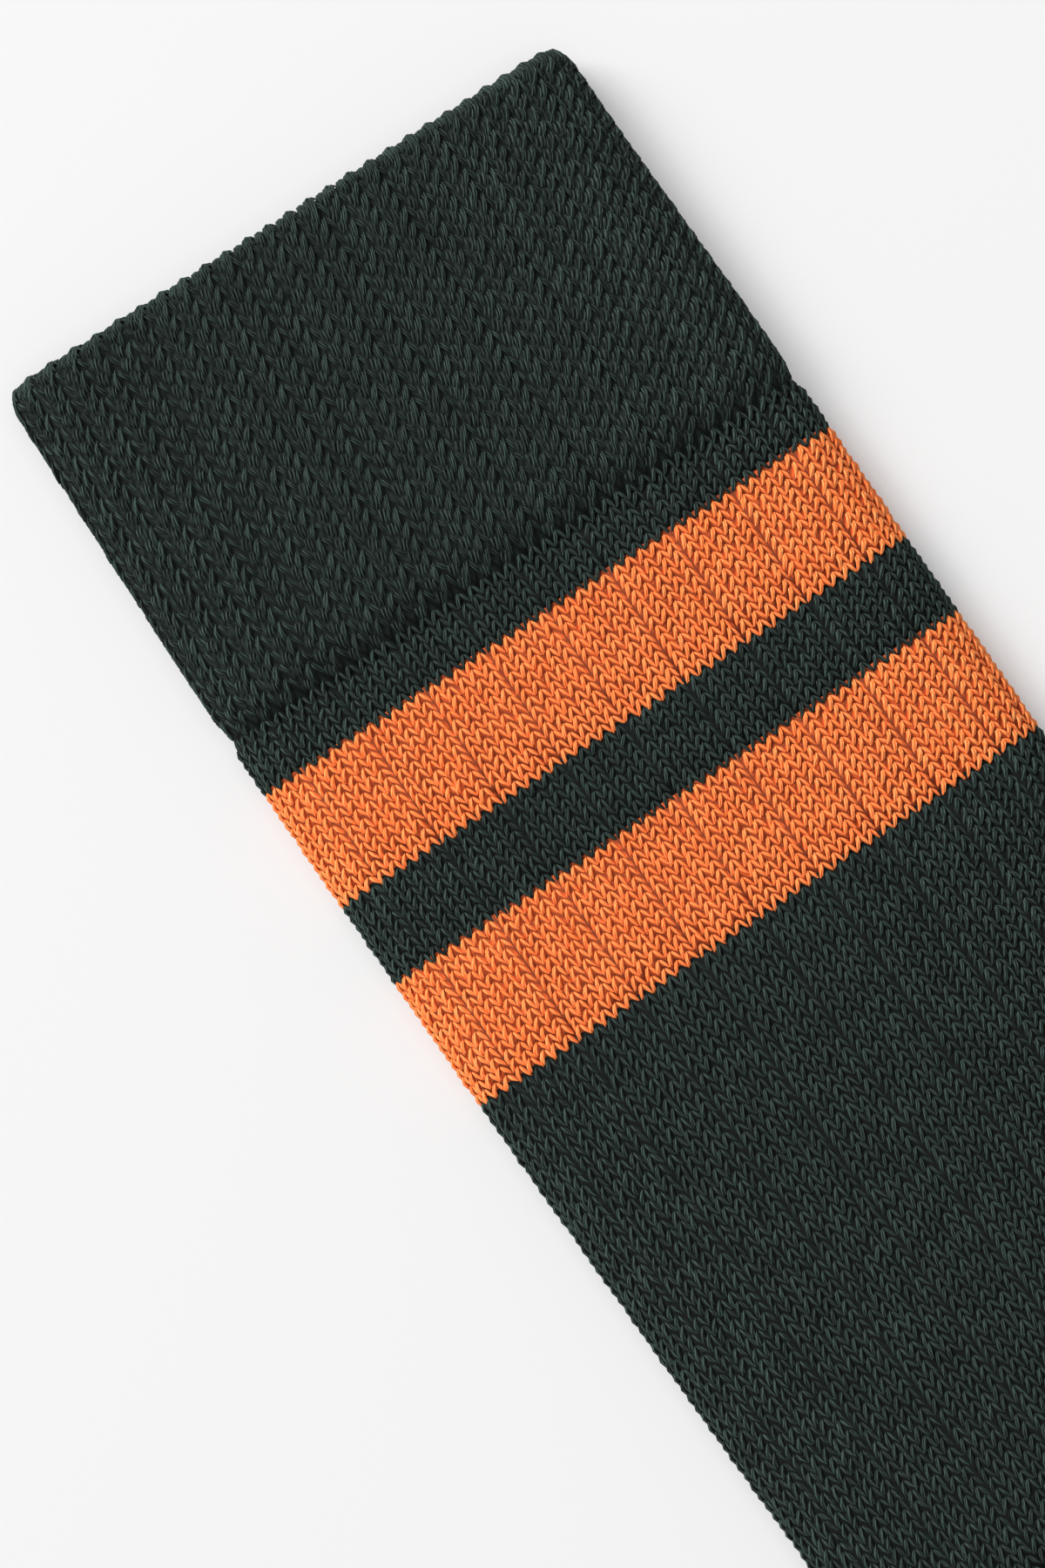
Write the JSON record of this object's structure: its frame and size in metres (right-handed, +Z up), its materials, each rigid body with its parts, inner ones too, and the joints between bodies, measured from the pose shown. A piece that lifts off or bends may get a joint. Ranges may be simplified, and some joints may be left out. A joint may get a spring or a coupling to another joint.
{
  "type": "crew sock",
  "caption": "Knitted crew sock lying flat on its side, open at a doubled cuff, with contrast bands below the cuff, a heel pocket and a closed toe.",
  "frame": {"origin": "middle of the footprint, on the surface that the sock lies on", "axes": "+Y along the leg towards the open cuff, +X towards the toes, +Z up from the surface that the sock lies flat on"},
  "size_m": [0.2374, 0.3148, 0.0104],
  "materials": {
    "cuff_knit": "matt knitted cotton, staggered tuck stitch",
    "green_knit": "matt knitted cotton, plain stitch with a broad rib",
    "orange_knit": "matt knitted cotton, plain stitch with a broad rib"
  },
  "bodies": {
    "root": {"cuff": "cuff_knit", "leg_top_band": "green_knit", "stripe_upper": "orange_knit", "band_between": "green_knit", "stripe_lower": "orange_knit", "leg": "green_knit", "heel": "green_knit", "foot": "green_knit", "toe": "green_knit"}
  },
  "joints": []
}
